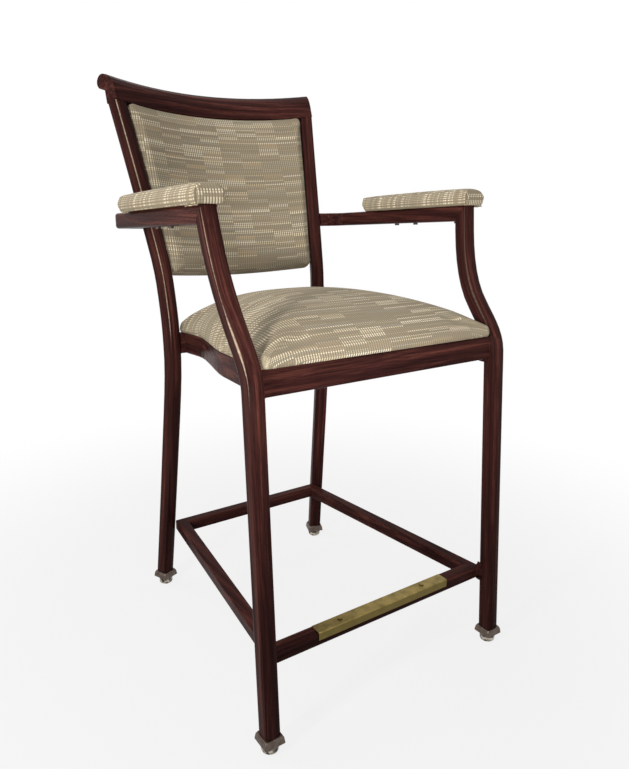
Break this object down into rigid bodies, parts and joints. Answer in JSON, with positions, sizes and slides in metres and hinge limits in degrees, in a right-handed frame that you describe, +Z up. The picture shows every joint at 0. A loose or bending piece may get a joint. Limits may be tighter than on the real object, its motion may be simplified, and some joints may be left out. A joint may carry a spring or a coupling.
{
  "type": "counter stool with arms",
  "caption": "Upholstered counter stool with a welded square-tube frame, arms with padded tops, a concave scroll back, a sloping padded seat and a foot ring with a wear plate.",
  "frame": {"origin": "on the floor, under the middle of the stool's bounding box", "axes": "+Z up, the sitter faces -Y, +X to the right as seen from the front; names use that left and right; the middle plane is X = 0"},
  "size_m": [0.558, 0.7008, 1.0406],
  "materials": {
    "frame_coating": "satin mahogany wood-grain coating over welded tube",
    "upholstery": "woven beige fabric with rows of small cream dashes",
    "plywood": "raw plywood",
    "brass": "worn satin brass",
    "cap_bronze": "brushed antique bronze",
    "glide_nickel": "polished nickel",
    "screw_steel": "zinc plated"
  },
  "bodies": {
    "root": {"front_leg_right": "frame_coating", "front_leg_left": "frame_coating", "back_post_right": "frame_coating", "back_post_left": "frame_coating", "arm_rail_right": "frame_coating", "arm_rail_left": "frame_coating", "arm_pad_board_right": "plywood", "arm_pad_board_left": "plywood", "arm_pad_right": "upholstery", "arm_pad_left": "upholstery", "arm_pad_screw_1_right": "screw_steel", "arm_pad_screw_1_left": "screw_steel", "arm_pad_screw_2_right": "screw_steel", "arm_pad_screw_2_left": "screw_steel", "arm_pad_screw_3_right": "screw_steel", "arm_pad_screw_3_left": "screw_steel", "crest_rail": "frame_coating", "crest_end_right": "frame_coating", "crest_end_left": "frame_coating", "back_board": "plywood", "back_cushion": "upholstery", "back_tab_lower_right": "frame_coating", "back_tab_lower_left": "frame_coating", "back_tab_upper_right": "frame_coating", "back_tab_upper_left": "frame_coating", "back_cover": "upholstery", "seat_rail_front": "frame_coating", "seat_rail_rear": "frame_coating", "seat_rail_right": "frame_coating", "seat_rail_left": "frame_coating", "seat_bracket_front_right": "frame_coating", "seat_bracket_front_left": "frame_coating", "seat_screw_front_right": "screw_steel", "seat_screw_front_left": "screw_steel", "seat_bracket_rear_right": "frame_coating", "seat_bracket_rear_left": "frame_coating", "seat_screw_rear_right": "screw_steel", "seat_screw_rear_left": "screw_steel", "seat_board": "plywood", "seat_cushion": "upholstery", "foot_rail_front": "frame_coating", "foot_rail_right": "frame_coating", "foot_rail_rear": "frame_coating", "foot_rail_left": "frame_coating", "foot_plate": "brass", "foot_plate_screw_left": "brass", "foot_plate_screw_right": "brass", "leg_cap_front_right": "cap_bronze", "leg_cap_front_left": "cap_bronze", "glide_front_right": "glide_nickel", "glide_front_left": "glide_nickel", "leg_cap_rear_right": "cap_bronze", "leg_cap_rear_left": "cap_bronze", "glide_rear_right": "glide_nickel", "glide_rear_left": "glide_nickel"}
  },
  "joints": []
}
